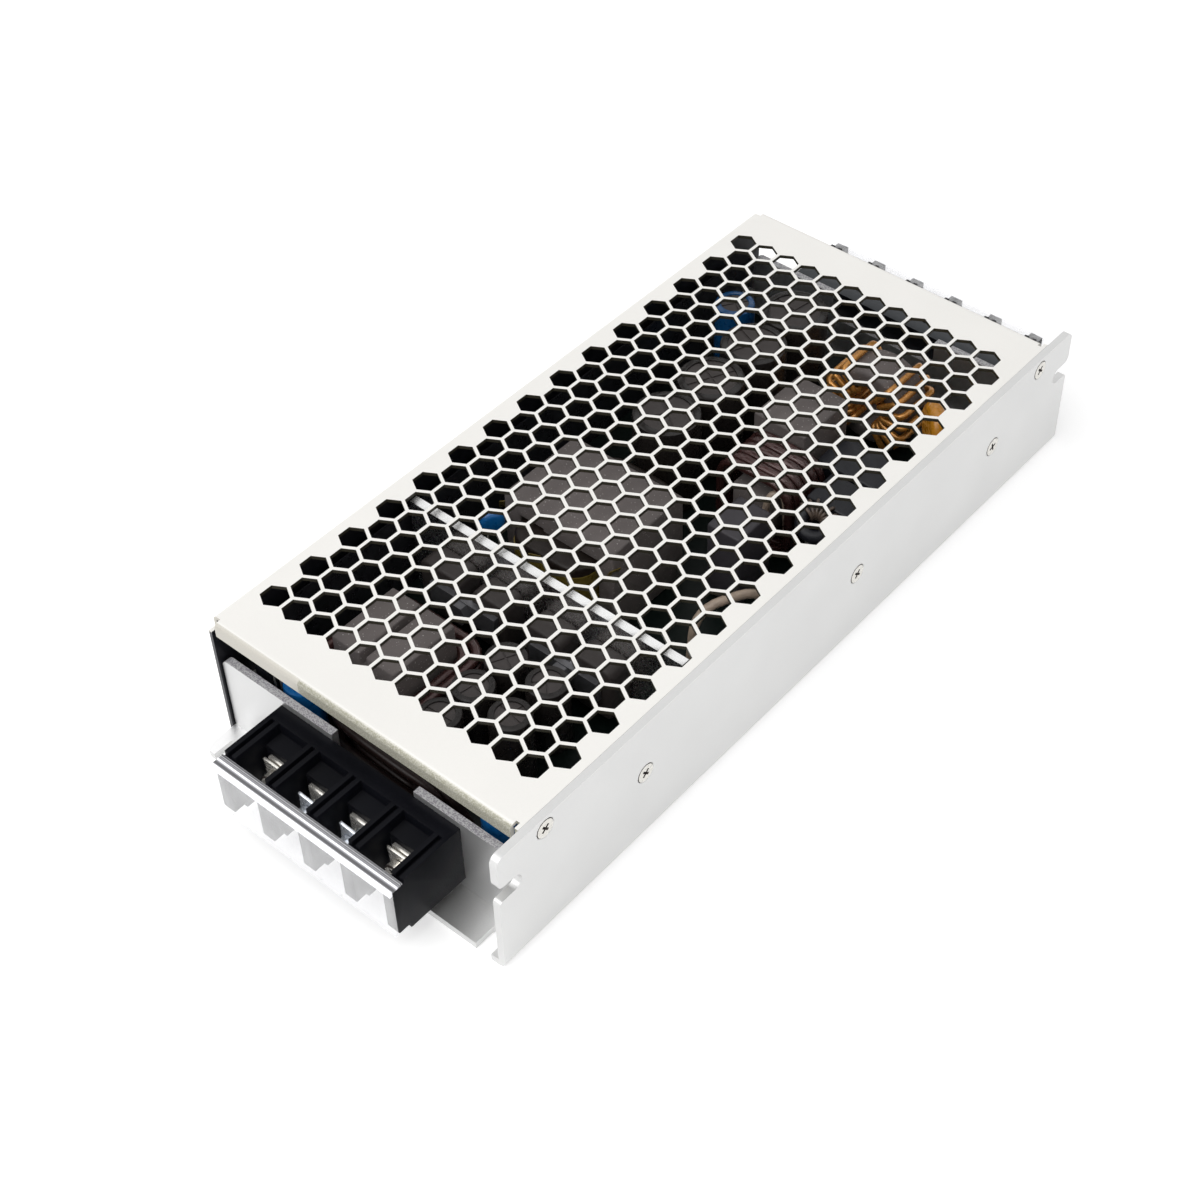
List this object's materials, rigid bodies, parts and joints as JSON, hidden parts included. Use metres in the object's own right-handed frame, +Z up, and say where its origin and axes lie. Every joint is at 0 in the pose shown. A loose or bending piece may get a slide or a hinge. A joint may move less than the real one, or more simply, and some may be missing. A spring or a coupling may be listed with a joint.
{
  "type": "enclosed dc-dc converter",
  "caption": "Long flat power converter in a folded sheet case with a honeycomb cover and a covered barrier terminal block at each end.",
  "frame": {"origin": "centre of the base's underside, midway between the two clear terminal covers", "axes": "+Z up out of the base, +Y along the case towards the input end, +X towards the tall side wall"},
  "size_m": [0.097, 0.2464, 0.038],
  "materials": {
    "galvanised": "bare sheet, satin",
    "cover_sheet": "bare sheet, satin",
    "zinc_screw": "bright zinc",
    "nickel": "nickel plated",
    "bare_aluminium": "extruded, satin",
    "black_moulding": "matt",
    "clear_plastic": "clear, slightly hazy",
    "board": "solder resist",
    "insulator": "film",
    "silicone_cap": "silicone rubber",
    "ferrite": "ferrite, fine grain",
    "tape": "polyester tape",
    "copper": "enamelled wire",
    "can_sleeve": "shrink sleeve",
    "blue_sleeve": "shrink sleeve",
    "dark_case": "moulded box",
    "grey_case": "moulded box",
    "orange_coat": "dipped coating"
  },
  "bodies": {
    "root": {"chassis": "galvanised", "cover": "cover_sheet", "front_panel": "galvanised", "rear_panel": "galvanised", "cover_screws": "zinc_screw", "wall_screws": "zinc_screw", "output_block": "black_moulding", "input_block": "black_moulding", "output_terminals": "nickel", "input_terminals": "nickel", "circuit_board": "board", "board_pillars": "zinc_screw", "insulating_sheet": "insulator", "heat_plate": "bare_aluminium", "side_heat_bar": "bare_aluminium", "power_devices": "silicone_cap", "side_devices": "black_moulding", "clamp_bars": "nickel", "clamp_bolts": "zinc_screw", "transformer_core": "ferrite", "transformer_coil": "tape", "output_choke_core": "ferrite", "output_choke_coil": "copper", "input_choke_core": "ferrite", "input_choke_coil": "copper", "filter_ring": "ferrite", "filter_windings": "copper", "bulk_capacitors": "can_sleeve", "output_capacitors": "can_sleeve", "sleeved_capacitor": "blue_sleeve", "front_capacitors": "blue_sleeve", "film_capacitors": "dark_case", "grey_capacitor": "grey_case", "surge_disc": "orange_coat"},
    "output_cover": {"output_cover": "clear_plastic"},
    "output_clamp_1": {"output_clamp_1": "zinc_screw"},
    "output_screw_1": {"output_screw_1": "nickel"},
    "output_clamp_2": {"output_clamp_2": "zinc_screw"},
    "output_screw_2": {"output_screw_2": "nickel"},
    "output_clamp_3": {"output_clamp_3": "zinc_screw"},
    "output_screw_3": {"output_screw_3": "nickel"},
    "output_clamp_4": {"output_clamp_4": "zinc_screw"},
    "output_screw_4": {"output_screw_4": "nickel"},
    "input_cover": {"input_cover": "clear_plastic"},
    "input_clamp_1": {"input_clamp_1": "zinc_screw"},
    "input_screw_1": {"input_screw_1": "nickel"},
    "input_clamp_2": {"input_clamp_2": "zinc_screw"},
    "input_screw_2": {"input_screw_2": "nickel"},
    "input_clamp_3": {"input_clamp_3": "zinc_screw"},
    "input_screw_3": {"input_screw_3": "nickel"},
    "input_clamp_4": {"input_clamp_4": "zinc_screw"},
    "input_screw_4": {"input_screw_4": "nickel"},
    "input_clamp_5": {"input_clamp_5": "zinc_screw"},
    "input_screw_5": {"input_screw_5": "nickel"}
  },
  "joints": [
    {"name": "output_cover_hinge", "type": "hinge", "parent": "root", "child": "output_cover", "pos_m": [0.0004, -0.1209, 0.0239], "axis": [-1, 0, 0], "range_deg": [0, 150]},
    {"name": "output_clamp_1_slide", "type": "slide", "parent": "root", "child": "output_clamp_1", "axis": [0, -1, 0], "range_m": [0, 0.0042]},
    {"name": "output_screw_1_turn", "type": "hinge", "parent": "output_clamp_1", "child": "output_screw_1", "pos_m": [-0.0191, -0.1148, 0.013], "axis": [0, -1, 0], "range_deg": [-6, 2166]},
    {"name": "output_clamp_2_slide", "type": "slide", "parent": "root", "child": "output_clamp_2", "axis": [0, -1, 0], "range_m": [-0.002, 0.0022]},
    {"name": "output_screw_2_turn", "type": "hinge", "parent": "output_clamp_2", "child": "output_screw_2", "pos_m": [-0.0061, -0.1148, 0.013], "axis": [0, -1, 0], "range_deg": [-1034.6, 1137.4]},
    {"name": "output_clamp_3_slide", "type": "slide", "parent": "root", "child": "output_clamp_3", "axis": [0, -1, 0], "range_m": [-0.002, 0.0022]},
    {"name": "output_screw_3_turn", "type": "hinge", "parent": "output_clamp_3", "child": "output_screw_3", "pos_m": [0.0069, -0.1148, 0.013], "axis": [0, -1, 0], "range_deg": [-1034.6, 1137.4]},
    {"name": "output_clamp_4_slide", "type": "slide", "parent": "root", "child": "output_clamp_4", "axis": [0, -1, 0], "range_m": [0, 0.0042]},
    {"name": "output_screw_4_turn", "type": "hinge", "parent": "output_clamp_4", "child": "output_screw_4", "pos_m": [0.0199, -0.1148, 0.013], "axis": [0, -1, 0], "range_deg": [-6, 2166]},
    {"name": "input_cover_hinge", "type": "hinge", "parent": "root", "child": "input_cover", "pos_m": [0.0004, 0.1209, 0.0239], "axis": [1, 0, 0], "range_deg": [0, 150]},
    {"name": "input_clamp_1_slide", "type": "slide", "parent": "root", "child": "input_clamp_1", "axis": [0, 1, 0], "range_m": [0, 0.0042]},
    {"name": "input_screw_1_turn", "type": "hinge", "parent": "input_clamp_1", "child": "input_screw_1", "pos_m": [0.0264, 0.1148, 0.013], "axis": [0, 1, 0], "range_deg": [-6, 2166]},
    {"name": "input_clamp_2_slide", "type": "slide", "parent": "root", "child": "input_clamp_2", "axis": [0, 1, 0], "range_m": [0, 0.0042]},
    {"name": "input_screw_2_turn", "type": "hinge", "parent": "input_clamp_2", "child": "input_screw_2", "pos_m": [0.0134, 0.1148, 0.013], "axis": [0, 1, 0], "range_deg": [-6, 2166]},
    {"name": "input_clamp_3_slide", "type": "slide", "parent": "root", "child": "input_clamp_3", "axis": [0, 1, 0], "range_m": [0, 0.0042]},
    {"name": "input_screw_3_turn", "type": "hinge", "parent": "input_clamp_3", "child": "input_screw_3", "pos_m": [0.0004, 0.1148, 0.013], "axis": [0, 1, 0], "range_deg": [-6, 2166]},
    {"name": "input_clamp_4_slide", "type": "slide", "parent": "root", "child": "input_clamp_4", "axis": [0, 1, 0], "range_m": [0, 0.0042]},
    {"name": "input_screw_4_turn", "type": "hinge", "parent": "input_clamp_4", "child": "input_screw_4", "pos_m": [-0.0126, 0.1148, 0.013], "axis": [0, 1, 0], "range_deg": [-6, 2166]},
    {"name": "input_clamp_5_slide", "type": "slide", "parent": "root", "child": "input_clamp_5", "axis": [0, 1, 0], "range_m": [0, 0.0042]},
    {"name": "input_screw_5_turn", "type": "hinge", "parent": "input_clamp_5", "child": "input_screw_5", "pos_m": [-0.0256, 0.1148, 0.013], "axis": [0, 1, 0], "range_deg": [-6, 2166]}
  ],
  "couplings": [
    {"joint": "output_screw_1_turn", "follows": "output_clamp_1_slide", "rad_per_m": 8976},
    {"joint": "output_screw_2_turn", "follows": "output_clamp_2_slide", "rad_per_m": 8976},
    {"joint": "output_screw_3_turn", "follows": "output_clamp_3_slide", "rad_per_m": 8976},
    {"joint": "output_screw_4_turn", "follows": "output_clamp_4_slide", "rad_per_m": 8976},
    {"joint": "input_screw_1_turn", "follows": "input_clamp_1_slide", "rad_per_m": 8976},
    {"joint": "input_screw_2_turn", "follows": "input_clamp_2_slide", "rad_per_m": 8976},
    {"joint": "input_screw_3_turn", "follows": "input_clamp_3_slide", "rad_per_m": 8976},
    {"joint": "input_screw_4_turn", "follows": "input_clamp_4_slide", "rad_per_m": 8976},
    {"joint": "input_screw_5_turn", "follows": "input_clamp_5_slide", "rad_per_m": 8976}
  ]
}
